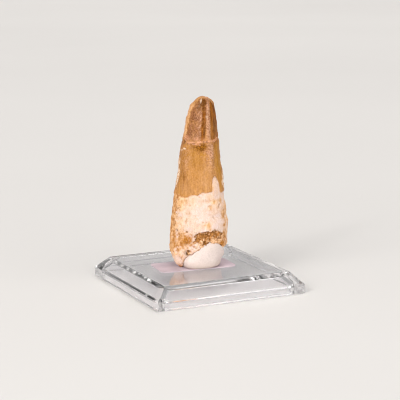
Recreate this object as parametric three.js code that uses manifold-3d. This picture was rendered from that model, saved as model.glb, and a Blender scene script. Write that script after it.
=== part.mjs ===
// Fossil theropod tooth held upright by a lump of putty on a small clear display base.
// Millimetres, +Z up. Origin: centre of the base's underside, base edges along X and Y.
import * as THREE from "three";
import { mergeVertices } from "three/addons/utils/BufferGeometryUtils.js";
import Module from "manifold-3d";

const wasm = await Module();
wasm.setup();

// ---- display base: square, upright rim, 45 degree bevels, flat plateau, hollow below
const BASE_SIDE = 50;
const RIM_HEIGHT = 2.8;
const BEVEL = 3.75; // run and rise of each sloping side
const WALL = 2.4;
const HOLLOW_CORNER = 3; // radius of the hollow's upright corners
const PLATEAU_Z = RIM_HEIGHT + BEVEL;

// ---- paper label on the plateau
const LABEL_LENGTH = 25;
const LABEL_WIDTH = 12.5;
const LABEL_THICK = 0.15;
const LABEL_CORNER = 1.9;
const LABEL_CENTRE = [-2.1, -1.2];
const LABEL_TURN = THREE.MathUtils.degToRad(-4.5);
const SEAT_GAP = 0.02; // glue line under the label
const LABEL_TOP = PLATEAU_Z + SEAT_GAP + LABEL_THICK;

// ---- tooth: broad face turned from the base's edges; X is across the broad face, -Y its front
const TOOTH_TURN = THREE.MathUtils.degToRad(-25.94);
// columns round the tooth, in degrees, closer together over the broken front
const COLUMNS = [];
for (let a = 0; a < 360; a += a >= 188 && a < 336 ? 4 : 8) COLUMNS.push(a);
// height, left edge, right edge, thickness over width
const OUTLINE = [
  [6.0, -7.6, 7.8, 0.92],
  [8.0, -8.4, 8.3, 0.92],
  [10.0, -8.75, 8.8, 0.92],
  [12.0, -8.85, 9.2, 0.91],
  [14.1, -8.76, 9.42, 0.9],
  [16.0, -8.72, 9.4, 0.9],
  [18.0, -8.6, 9.5, 0.89],
  [20.0, -8.4, 9.6, 0.89],
  [22.0, -8.28, 9.38, 0.88],
  [24.0, -8.02, 9.1, 0.88],
  [26.0, -7.78, 9.0, 0.87],
  [28.0, -7.55, 8.52, 0.87],
  [30.5, -7.08, 8.34, 0.86],
  [33.3, -6.62, 8.1, 0.86],
  [36.2, -6.1, 7.8, 0.85],
  [39.0, -5.78, 7.25, 0.85],
  [42.0, -5.44, 6.95, 0.84],
  [45.0, -5.0, 6.76, 0.83],
  [48.0, -4.36, 6.4, 0.83],
  [50.5, -3.8, 6.1, 0.82],
  [53.0, -3.42, 5.82, 0.82],
  [55.0, -2.72, 5.46, 0.82],
  [56.6, -2.32, 5.22, 0.82],
  [57.8, -1.38, 4.96, 0.82],
  [58.7, -0.62, 4.26, 0.8],
  [59.4, 0.2, 3.1, 0.78],
];
const TIP = [1.6, 0.5, 59.85];
// broken lower edge: angle round the tooth in degrees (0 right, 90 back, 180 left, 270 front), height
// a single spur at the front left reaches down to the label
const BREAK = [
  [0, 12.4],
  [20, 12.6],
  [45, 13.0],
  [70, 13.3],
  [95, 13.2],
  [120, 12.9],
  [145, 12.6],
  [165, 12.4],
  [180, 12.1],
  [192, 11.2],
  [204, 9.6],
  [214, 7.75],
  [222, 6.95],
  [228, 6.8],
  [234, 7.15],
  [239, 8.3],
  [245, 10.2],
  [250, 11.7],
  [257, 11.6],
  [263, 11.95],
  [275, 13.3],
  [288, 14.1],
  [297, 14.8],
  [311, 14.7],
  [320, 13.5],
  [330, 12.7],
  [345, 12.4],
  [360, 12.4],
];
const ROOT_HOLLOW_Z = 13.4; // middle of the broken underside
// share of the radius and of the rise to the middle, over the broken underside
const UNDERSIDE = [
  [0.3, 1],
  [0.58, 0.9],
  [0.78, 0.55],
  [0.92, 0.16],
];

// ---- putty lump, leaning to the right: height, left, right, front, back
const PUTTY_GAP = 0.3;
const PUTTY_SIDES = 44;
const PUTTY = [
  [LABEL_TOP + 0.03, -4.3, 7.8, -7.9, 5.6],
  [LABEL_TOP + 0.35, -4.7, 8.1, -8.35, 6.0],
  [7.8, -4.9, 8.35, -8.6, 6.3],
  [9.2, -4.9, 8.45, -8.7, 6.4],
  [10.6, -4.2, 8.4, -8.65, 6.3],
  [12.0, -2.2, 8.15, -8.4, 6.0],
  [13.3, 0.4, 7.6, -7.9, 5.4],
  [14.2, 2.6, 6.9, -7.2, 4.4],
  [14.7, 4.1, 6.1, -6.4, 2.4],
];

const clamp01 = (t) => Math.min(1, Math.max(0, t));

// value of a table at x, eased between rows by a Catmull-Rom spline
function tableAt(rows, x, column) {
  const n = rows.length;
  let i = 0;
  while (i < n - 2 && rows[i + 1][0] < x) i++;
  const r = (k) => rows[Math.min(n - 1, Math.max(0, k))];
  const [a, b] = [r(i), r(i + 1)];
  const h = b[0] - a[0] || 1;
  const t = clamp01((x - a[0]) / h);
  const slope = (k) => {
    const [p, q] = [r(k - 1), r(k + 1)];
    return q[0] === p[0] ? 0 : (q[column] - p[column]) / (q[0] - p[0]);
  };
  const [m0, m1] = [slope(i) * h, slope(i + 1) * h];
  const t2 = t * t;
  const t3 = t2 * t;
  return (
    (2 * t3 - 3 * t2 + 1) * a[column] +
    (t3 - 2 * t2 + t) * m0 +
    (-2 * t3 + 3 * t2) * b[column] +
    (t3 - t2) * m1
  );
}

// closed skin over rings of equal length, bottom to top, with an end point below and above
function loft(rings, bottom, top) {
  const sides = rings[0].length;
  const positions = [bottom, ...rings.flat(), top].flat();
  const index = [];
  const at = (ring, i) => 1 + ring * sides + (i % sides);
  const last = 1 + rings.length * sides;
  for (let i = 0; i < sides; i++) {
    index.push(0, at(0, i + 1), at(0, i));
    for (let k = 0; k + 1 < rings.length; k++)
      index.push(
        at(k, i), at(k, i + 1), at(k + 1, i + 1),
        at(k, i), at(k + 1, i + 1), at(k + 1, i),
      );
    index.push(at(rings.length - 1, i), at(rings.length - 1, i + 1), last);
  }
  const g = new THREE.BufferGeometry();
  g.setAttribute("position", new THREE.Float32BufferAttribute(positions, 3));
  g.setIndex(index);
  g.computeVertexNormals();
  return g;
}

// point of the tooth's skin at an angle and height, grown outwards by g
function skin(angle, z, g) {
  const left = tableAt(OUTLINE, z, 1) - g;
  const right = tableAt(OUTLINE, z, 2) + g;
  const half = (right - left) / 2;
  const deep = half * tableAt(OUTLINE, z, 3);
  const lean = 0.5 * clamp01((z - 20) / 40);
  return [(left + right) / 2 + half * Math.cos(angle), lean + deep * Math.sin(angle), z];
}

function toothGeometry(g = 0) {
  const rows = [
    0, 0.35, 0.9, 1.7, 2.8, 4.2, 5.8, 7.6, 9.6, 11.8, 14, 16.4, 18.8, 21.2, 23.6, 26, 28.4, 30.8, 33.2, 35.4, 37.4,
    39.2, 40.8, 42.1, 43, 43.7,
  ];
  const span = rows[rows.length - 1];
  const high = OUTLINE[OUTLINE.length - 1][0];
  const rings = [];
  const columns = COLUMNS.map((a) => [THREE.MathUtils.degToRad(a), tableAt(BREAK, a, 1) - g]);
  // broken underside, from the middle out
  for (const [share, rise] of UNDERSIDE)
    rings.push(
      columns.map(([angle, foot]) => {
        const edge = skin(angle, foot, g);
        return [edge[0] * share, edge[1] * share, foot + rise * (ROOT_HOLLOW_Z - g - foot)];
      }),
    );
  for (const row of rows)
    rings.push(
      columns.map(([angle, foot]) => {
        const z = foot + (row / span) * (high - foot);
        const rounding = 1 - 0.03 * Math.max(0, 1 - row / 0.9);
        const p = skin(angle, z, g);
        return [p[0] * rounding, p[1] * rounding, z];
      }),
    );
  return loft(rings, [0, 0, ROOT_HOLLOW_Z - g], [TIP[0], TIP[1], TIP[2] + g]);
}

// solid for joining and cutting, from a geometry's merged vertices
function solidOf(geometry, matrix) {
  const g = geometry.clone();
  g.deleteAttribute("normal");
  g.deleteAttribute("uv");
  if (matrix) g.applyMatrix4(matrix);
  const m = mergeVertices(g, 1e-4);
  return new wasm.Manifold(
    new wasm.Mesh({
      numProp: 3,
      vertProperties: new Float32Array(m.attributes.position.array),
      triVerts: new Uint32Array(m.index.array),
    }),
  );
}

function geometryOf(solid) {
  const m = solid.getMesh();
  const g = new THREE.BufferGeometry();
  g.setAttribute("position", new THREE.BufferAttribute(new Float32Array(m.vertProperties), 3));
  g.setIndex(new THREE.BufferAttribute(new Uint32Array(m.triVerts), 1));
  g.computeVertexNormals();
  return g;
}

function roundedRectangle(length, width, radius) {
  const [x, y] = [length / 2, width / 2];
  const s = new THREE.Shape();
  s.moveTo(-x + radius, -y);
  s.lineTo(x - radius, -y);
  s.absarc(x - radius, -y + radius, radius, -Math.PI / 2, 0);
  s.lineTo(x, y - radius);
  s.absarc(x - radius, y - radius, radius, 0, Math.PI / 2);
  s.lineTo(-x + radius, y);
  s.absarc(-x + radius, y - radius, radius, Math.PI / 2, Math.PI);
  s.lineTo(-x, -y + radius);
  s.absarc(-x + radius, -y + radius, radius, Math.PI, Math.PI * 1.5);
  return s;
}

// ring of a rounded square, for the hollow
function squareRing(half, radius, z, steps = 5) {
  const ring = [];
  for (let q = 0; q < 4; q++)
    for (let k = 0; k <= steps; k++) {
      const a = (q + k / steps) * (Math.PI / 2);
      const [sx, sy] = [[1, 1], [-1, 1], [-1, -1], [1, -1]][q];
      ring.push([sx * (half - radius) + radius * Math.cos(a), sy * (half - radius) + radius * Math.sin(a), z]);
    }
  return ring;
}

function baseGeometry() {
  const corner = Math.SQRT2; // a four-sided lathe's radius reaches its corners
  const half = BASE_SIDE / 2;
  const outside = new THREE.LatheGeometry(
    [
      new THREE.Vector2(0, 0),
      new THREE.Vector2(half * corner, 0),
      new THREE.Vector2(half * corner, RIM_HEIGHT),
      new THREE.Vector2((half - BEVEL) * corner, PLATEAU_Z),
      new THREE.Vector2(0, PLATEAU_Z),
    ],
    4,
    Math.PI / 4,
  );
  outside.rotateX(Math.PI / 2);
  const slant = WALL * Math.tan(Math.PI / 8); // keeps the wall even where bevel meets plate and rim
  const inner = half - WALL;
  const ceiling = PLATEAU_Z - WALL;
  const shoulder = RIM_HEIGHT - slant;
  const hollow = loft(
    [
      squareRing(inner, HOLLOW_CORNER, -1),
      squareRing(inner, HOLLOW_CORNER, shoulder),
      squareRing(inner - (ceiling - shoulder), HOLLOW_CORNER * 0.8, ceiling),
    ],
    [0, 0, -1],
    [0, 0, ceiling],
  );
  return geometryOf(solidOf(outside).subtract(solidOf(hollow)));
}

function puttyGeometry() {
  const rings = PUTTY.map(([z, left, right, front, back]) => {
    const ring = [];
    for (let i = 0; i < PUTTY_SIDES; i++) {
      const a = (i / PUTTY_SIDES) * Math.PI * 2;
      const lump = 1 + 0.03 * Math.sin(2 * a + 0.6) + 0.02 * Math.sin(3 * a + 2.1);
      ring.push([
        (left + right) / 2 + ((right - left) / 2) * lump * Math.cos(a),
        (front + back) / 2 + ((back - front) / 2) * lump * Math.sin(a),
        z,
      ]);
    }
    return ring;
  });
  const middle = ([z, left, right, front, back]) => [(left + right) / 2, (front + back) / 2, z];
  const top = middle(PUTTY[PUTTY.length - 1]);
  top[2] += 0.1;
  const lump = solidOf(loft(rings, middle(PUTTY[0]), top));
  const cut = lump.subtract(solidOf(toothGeometry(PUTTY_GAP)));
  const pieces = cut.decompose().sort((a, b) => b.volume() - a.volume());
  return geometryOf(pieces[0]);
}

const clear = new THREE.MeshStandardMaterial({
  color: 0xe9eef2, roughness: 0.05, metalness: 0, transparent: true, opacity: 0.3,
});
const paper = new THREE.MeshStandardMaterial({ color: 0xe4dde0, roughness: 0.8, metalness: 0 });
const white = new THREE.MeshStandardMaterial({ color: 0xf2ece2, roughness: 0.75, metalness: 0 });
const fossil = new THREE.MeshStandardMaterial({ color: 0xc9924f, roughness: 0.5, metalness: 0 });

const specimen = new THREE.Group();

const base = new THREE.Mesh(baseGeometry(), clear);
base.name = "display_base";
specimen.add(base);

const label = new THREE.Mesh(
  new THREE.ExtrudeGeometry(roundedRectangle(LABEL_LENGTH, LABEL_WIDTH, LABEL_CORNER), {
    depth: LABEL_THICK, bevelEnabled: false, curveSegments: 6,
  }),
  paper,
);
label.name = "label";
label.position.set(LABEL_CENTRE[0], LABEL_CENTRE[1], PLATEAU_Z + SEAT_GAP);
label.rotation.z = LABEL_TURN;
specimen.add(label);

const standing = new THREE.Group();
standing.rotation.z = TOOTH_TURN;
specimen.add(standing);

const tooth = new THREE.Mesh(toothGeometry(), fossil);
tooth.name = "tooth";
standing.add(tooth);

const putty = new THREE.Mesh(puttyGeometry(), white);
putty.name = "putty";
standing.add(putty);

export default specimen;
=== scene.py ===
"""Fossil tooth stood in putty on a small clear display base: fine meshes, materials, light and camera."""

import math

import bpy
import numpy as np
from mathutils import Matrix, Vector
from mathutils.bvhtree import BVHTree
from mathutils.kdtree import KDTree


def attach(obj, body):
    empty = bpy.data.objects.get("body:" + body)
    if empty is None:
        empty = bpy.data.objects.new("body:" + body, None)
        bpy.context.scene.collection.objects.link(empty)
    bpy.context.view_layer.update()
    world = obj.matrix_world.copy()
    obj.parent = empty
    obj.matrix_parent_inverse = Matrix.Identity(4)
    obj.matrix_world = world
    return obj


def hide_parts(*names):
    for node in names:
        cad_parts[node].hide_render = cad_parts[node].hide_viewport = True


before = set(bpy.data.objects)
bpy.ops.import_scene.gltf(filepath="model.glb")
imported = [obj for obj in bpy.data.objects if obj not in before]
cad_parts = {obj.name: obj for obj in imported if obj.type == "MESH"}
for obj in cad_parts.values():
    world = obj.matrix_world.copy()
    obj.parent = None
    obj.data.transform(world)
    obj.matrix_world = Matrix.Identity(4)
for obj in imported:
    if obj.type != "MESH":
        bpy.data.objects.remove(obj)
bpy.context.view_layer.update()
MM = 0.001

# ------------------------------------------------------------------ camera
# The camera stands in front and to the left, a little above the tooth's middle.
YAW = math.radians(25.94376)
PITCH = math.radians(-11.16886)
EYE = Vector((-0.1952153, -0.4031415, 0.115524))
FORWARD = Vector(
    (
        math.sin(YAW) * math.cos(PITCH),
        math.cos(YAW) * math.cos(PITCH),
        math.sin(PITCH),
    )
)
RIGHT = Vector((math.cos(YAW), -math.sin(YAW), 0.0))
UP = RIGHT.cross(FORWARD)
AWAY = Vector((math.sin(YAW), math.cos(YAW), 0.0))

scene = bpy.context.scene
cam_data = bpy.data.cameras.new("camera")
cam_data.lens = 131.094
cam_data.sensor_width = 36.0
cam_data.clip_start = 0.01
cam_data.clip_end = 20.0
cam = bpy.data.objects.new("camera", cam_data)
m = Matrix.Identity(4)
for i in range(3):
    m[i][0], m[i][1], m[i][2], m[i][3] = RIGHT[i], UP[i], -FORWARD[i], EYE[i]
cam.matrix_world = m
scene.collection.objects.link(cam)
scene.camera = cam


# ------------------------------------------------------------------ small maths
def smooth(a, b, x):
    t = np.clip((x - a) / (b - a), 0.0, 1.0)
    return t * t * (3 - 2 * t)


def bump(d):
    return np.exp(-d * d)


def table(rows, x, column):
    """Catmull-Rom through a table's rows."""
    t = np.asarray(rows, float)
    xs, ys = t[:, 0], t[:, column]
    n = len(xs)
    slope = np.zeros(n)
    slope[1:-1] = (ys[2:] - ys[:-2]) / (xs[2:] - xs[:-2])
    slope[0] = (ys[1] - ys[0]) / (xs[1] - xs[0])
    slope[-1] = (ys[-1] - ys[-2]) / (xs[-1] - xs[-2])
    x = np.asarray(x, float)
    i = np.clip(np.searchsorted(xs, x) - 1, 0, n - 2)
    h = xs[i + 1] - xs[i]
    u = np.clip((x - xs[i]) / h, 0, 1)
    u2, u3 = u * u, u * u * u
    return (
        (2 * u3 - 3 * u2 + 1) * ys[i]
        + (u3 - 2 * u2 + u) * slope[i] * h
        + (3 * u2 - 2 * u3) * ys[i + 1]
        + (u3 - u2) * slope[i + 1] * h
    )


def lattice(i, j, k, seed):
    h = (i * 73856093) ^ (j * 19349663) ^ (k * 83492791) ^ (seed * 40503 + 977)
    h &= 0xFFFFFFFF
    h = ((h ^ (h >> 16)) * 0x45D9F3B) & 0xFFFFFFFF
    h = ((h ^ (h >> 16)) * 0x45D9F3B) & 0xFFFFFFFF
    h ^= h >> 16
    return h / 4294967295.0


def noise(p, seed=0):
    """Smooth value noise from -1 to 1."""
    b = np.floor(p).astype(np.int64)
    f = p - b
    f = f * f * f * (f * (f * 6 - 15) + 10)
    total = 0.0
    for dx in (0, 1):
        wx = f[:, 0] if dx else 1 - f[:, 0]
        for dy in (0, 1):
            wy = f[:, 1] if dy else 1 - f[:, 1]
            for dz in (0, 1):
                wz = f[:, 2] if dz else 1 - f[:, 2]
                total = total + wx * wy * wz * lattice(
                    b[:, 0] + dx, b[:, 1] + dy, b[:, 2] + dz, seed
                )
    return total * 2 - 1


def fbm(p, octaves=4, seed=0, gain=0.5):
    total, size, most = 0.0, 1.0, 0.0
    for o in range(octaves):
        total = total + size * noise(p * 2**o + 17.3 * o, seed + 31 * o)
        most += size
        size *= gain
    return total / most * 1.6


def cells(p, seed=0):
    """Distance to the nearest scattered point, and that point's own random number."""
    b = np.floor(p).astype(np.int64)
    best = np.full(len(p), 9.0)
    tag = np.zeros(len(p))
    for dx in (-1, 0, 1):
        for dy in (-1, 0, 1):
            for dz in (-1, 0, 1):
                i, j, k = b[:, 0] + dx, b[:, 1] + dy, b[:, 2] + dz
                q = np.stack(
                    [
                        i + lattice(i, j, k, seed + 1),
                        j + lattice(i, j, k, seed + 2),
                        k + lattice(i, j, k, seed + 3),
                    ],
                    1,
                )
                d = np.linalg.norm(p - q, axis=1)
                near = d < best
                best = np.where(near, d, best)
                tag = np.where(near, lattice(i, j, k, seed + 4), tag)
    return best, tag


def loft_faces(rings, sides, first=0):
    k = np.arange(rings - 1)[:, None] * sides + first
    i = np.arange(sides)[None, :]
    j = (i + 1) % sides
    return np.stack([k + i, k + j, k + sides + j, k + sides + i], -1).reshape(-1, 4)


def normals_of(v, quads, tris=None):
    n = np.zeros_like(v)
    c = np.cross(v[quads[:, 2]] - v[quads[:, 0]], v[quads[:, 3]] - v[quads[:, 1]])
    for s in range(4):
        np.add.at(n, quads[:, s], c)
    if tris is not None and len(tris):
        c = np.cross(v[tris[:, 1]] - v[tris[:, 0]], v[tris[:, 2]] - v[tris[:, 0]])
        for s in range(3):
            np.add.at(n, tris[:, s], c)
    return n / np.maximum(np.linalg.norm(n, axis=1, keepdims=True), 1e-12)


def new_mesh(name, verts, faces, smooth_faces=True):
    me = bpy.data.meshes.new(name)
    me.from_pydata(np.asarray(verts, float).tolist(), [], [list(f) for f in faces])
    me.update()
    if smooth_faces:
        me.shade_smooth()
    ob = bpy.data.objects.new(name, me)
    scene.collection.objects.link(ob)
    return ob


def set_attribute(ob, name, values):
    a = ob.data.attributes.new(name, "FLOAT", "POINT")
    a.data.foreach_set("value", np.asarray(values, np.float32))


def to_world(local):
    """Tooth frame (across, away, up) in mm to the row frame in metres."""
    r, a = np.array(RIGHT), np.array(AWAY)
    return (
        local[:, 0:1] * r + local[:, 1:2] * a + local[:, 2:3] * np.array([0, 0, 1.0])
    ) * MM


# ------------------------------------------------------------------ sizes shared with the CAD frame
PLATEAU_Z = 6.55
LABEL_TOP = 6.72

# height, left edge, right edge of the tooth seen square to its broad face
OUTLINE = [
    [6.0, -7.70, 7.80],
    [8.0, -8.40, 8.30],
    [10.0, -8.75, 8.80],
    [12.0, -8.98, 9.10],
    [13.1, -8.82, 9.36],
    [14.1, -8.76, 9.42],
    [16.0, -8.72, 9.36],
    [17.0, -8.63, 9.44],
    [18.0, -8.64, 9.47],
    [18.9, -8.46, 9.56],
    [19.9, -8.39, 9.60],
    [20.8, -8.37, 9.65],
    [21.8, -8.32, 9.40],
    [22.8, -8.09, 9.10],
    [24.7, -7.97, 9.05],
    [25.7, -7.78, 9.05],
    [26.6, -7.75, 8.78],
    [27.6, -7.66, 8.48],
    [29.5, -7.32, 8.36],
    [31.4, -6.84, 8.30],
    [33.3, -6.62, 8.10],
    [35.2, -6.20, 7.96],
    [37.1, -5.95, 7.68],
    [38.1, -5.86, 7.44],
    [39.0, -5.78, 7.22],
    [40.9, -5.55, 7.06],
    [42.8, -5.28, 6.87],
    [44.7, -5.02, 6.77],
    [46.2, -4.80, 6.70],
    [47.5, -4.54, 6.43],
    [48.5, -4.20, 6.32],
    [49.4, -3.90, 6.17],
    [51.3, -3.69, 6.06],
    [53.2, -3.36, 5.80],
    [54.1, -2.96, 5.68],
    [56.0, -2.56, 5.34],
    [56.9, -2.24, 5.18],
    [57.8, -1.40, 4.96],
    [58.7, -0.62, 4.26],
    [59.3, 0.10, 3.20],
    [59.65, 0.75, 2.35],
    [59.82, 1.40, 1.70],
    [59.85, 1.54, 1.56],
]
DEPTH = [
    [6.0, 0.92],
    [14.0, 0.90],
    [22.0, 0.88],
    [30.0, 0.86],
    [40.0, 0.845],
    [50.0, 0.82],
    [57.0, 0.81],
    [59.85, 0.80],
]
# broken lower edge: angle round the tooth (0 right, 90 back, 180 left, 270 front), height
BREAK = [
    [0, 12.9],
    [20, 12.9],
    [45, 13.0],
    [70, 13.3],
    [95, 13.2],
    [120, 12.9],
    [145, 12.6],
    [165, 12.4],
    [180, 12.1],
    [192, 11.2],
    [204, 9.6],
    [214, 7.75],
    [222, 6.95],
    [228, 6.8],
    [234, 7.15],
    [239, 8.3],
    [245, 10.0],
    [250, 10.9],
    [254, 11.1],
    [258, 11.3],
    [263, 11.95],
    [275, 13.3],
    [288, 14.1],
    [297, 14.8],
    [311, 14.7],
    [320, 13.6],
    [330, 13.1],
    [345, 12.9],
    [360, 12.9],
]
# lower edge of the enamel, with the bare finger at the front right
ENAMEL = [
    [0, 30.2],
    [30, 29.1],
    [55, 28.3],
    [75, 28.9],
    [90, 30.6],
    [105, 31.6],
    [118, 31.2],
    [130, 29.4],
    [150, 28.7],
    [165, 29.0],
    [180, 29.3],
    [195, 29.6],
    [207, 29.65],
    [215, 29.75],
    [222, 29.6],
    [232, 29.4],
    [243, 29.2],
    [250, 29.65],
    [259.5, 29.95],
    [266.5, 29.85],
    [272, 30.5],
    [285, 30.7],
    [298, 30.7],
    [300.4, 30.9],
    [301.3, 32.7],
    [302.3, 34.3],
    [304.5, 34.95],
    [308, 35.3],
    [312.5, 35.2],
    [316, 34.75],
    [319, 34.15],
    [321.6, 33.4],
    [323.6, 32.5],
    [324.5, 31.4],
    [325.8, 30.4],
    [328, 30.15],
    [335, 30.2],
    [345, 30.3],
    [360, 30.2],
]
# upper edge of the sandy hollow at the front, and of a second one at the back
SAND_FRONT = [
    [255, 12.0],
    [259, 14.6],
    [262, 16.6],
    [265, 18.05],
    [272, 18.75],
    [284, 18.5],
    [292, 18.55],
    [300, 18.9],
    [306, 18.75],
    [313, 18.5],
    [320, 18.1],
    [326, 17.5],
    [333, 16.6],
    [341, 13.0],
]
SAND_BACK = [
    [52, 12.0],
    [60, 15.2],
    [70, 17.6],
    [84, 18.3],
    [97, 17.1],
    [108, 18.0],
    [120, 16.2],
    [131, 12.0],
]


def between(rows, x, outside):
    return np.where(
        (x >= rows[0][0]) & (x <= rows[-1][0]), table(rows, x, 1), outside
    )


def skin(angle, z):
    """The tooth's plain surface in its own frame, mm."""
    left, right = table(OUTLINE, z, 1), table(OUTLINE, z, 2)
    half = (right - left) / 2
    lean = 0.5 * np.clip((z - 20) / 40, 0, 1)
    return np.stack(
        [
            (left + right) / 2 + half * np.cos(angle),
            lean + half * table(DEPTH, z, 1) * np.sin(angle),
            z,
        ],
        -1,
    )


# ------------------------------------------------------------------ tooth
SIDES = 284
LOW_ROWS, HIGH_ROWS, CAP_ROWS = 56, 226, 15
MEET_Z = 16.4


def tooth_grid():
    deg = np.arange(SIDES) * 360.0 / SIDES
    angle = np.radians(deg)
    ring = np.stack([np.cos(angle), np.sin(angle), np.zeros(SIDES)], 1)
    foot = table(BREAK, deg, 1)
    ragged = fbm(ring * 4.5, 3, 5)
    tucked = 0.45 * smooth(253, 261, deg) * smooth(338, 330, deg)  # behind the putty's lip
    behind = smooth(4, 28, deg) * smooth(196, 170, deg)
    foot = foot + behind * (0.55 * fbm(ring * 2.6, 2, 6) + 0.30 * fbm(ring * 7.0, 2, 7))
    foot = np.maximum(
        foot - tucked + 0.18 * ragged * smooth(6.9, 8.2, foot), LABEL_TOP + 0.05
    )
    rings = []
    # underside, from the middle out to the broken edge
    shares = np.array([0.0, 0.30, 0.58, 0.78, 0.92, 1.0])
    rises = np.array([1.0, 1.0, 0.90, 0.55, 0.16, 0.0])
    for s in np.linspace(0.05, 0.975, CAP_ROWS):
        edge = skin(angle, foot)
        rise = np.interp(s, shares, rises)
        p = edge * s
        p[:, 2] = foot + rise * (13.4 - foot)
        rings.append((p, np.zeros(SIDES), np.full(SIDES, 0.02 + 0.98 * smooth(1.0, 0.72, s))))
    for r in range(LOW_ROWS):
        t = r / LOW_ROWS
        z = foot + (MEET_Z - foot) * t
        p = skin(angle, z)
        over = z - foot
        tuck = 1 - 0.045 * (1 - smooth(0.0, 0.75, over))
        p[:, :2] *= tuck[:, None]
        rings.append((p, over, np.zeros(SIDES)))
    # rows above are spaced evenly along the outline
    zs = np.linspace(MEET_Z, 59.85, 4000)
    half = (table(OUTLINE, zs, 2) - table(OUTLINE, zs, 1)) / 2
    run = np.concatenate([[0], np.cumsum(np.hypot(np.diff(zs), np.diff(half)))])
    for z in np.interp(np.linspace(0, run[-1] * 0.9985, HIGH_ROWS), run, zs):
        zz = np.full(SIDES, z)
        rings.append((skin(angle, zz), zz - foot, np.zeros(SIDES)))
    pts = np.concatenate([r[0] for r in rings])
    over = np.concatenate([r[1] for r in rings])
    cap = np.concatenate([r[2] for r in rings])
    count = len(rings)
    quads = loft_faces(count, SIDES)
    bottom, top = len(pts), len(pts) + 1
    pts = np.concatenate([pts, [[0, 0, 13.4]], [[1.55, 0.5, 59.86]]])
    over = np.concatenate([over, [0, 47]])
    cap = np.concatenate([cap, [1, 0]])
    i = np.arange(SIDES)
    j = (i + 1) % SIDES
    last = (count - 1) * SIDES
    tris = np.concatenate(
        [
            np.stack([np.full(SIDES, bottom), j, i], 1),
            np.stack([last + i, last + j, np.full(SIDES, top)], 1),
        ]
    )
    degs = np.concatenate([np.tile(deg, count), [0, 0]])
    return pts, quads, tris, degs, over, cap, count


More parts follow.
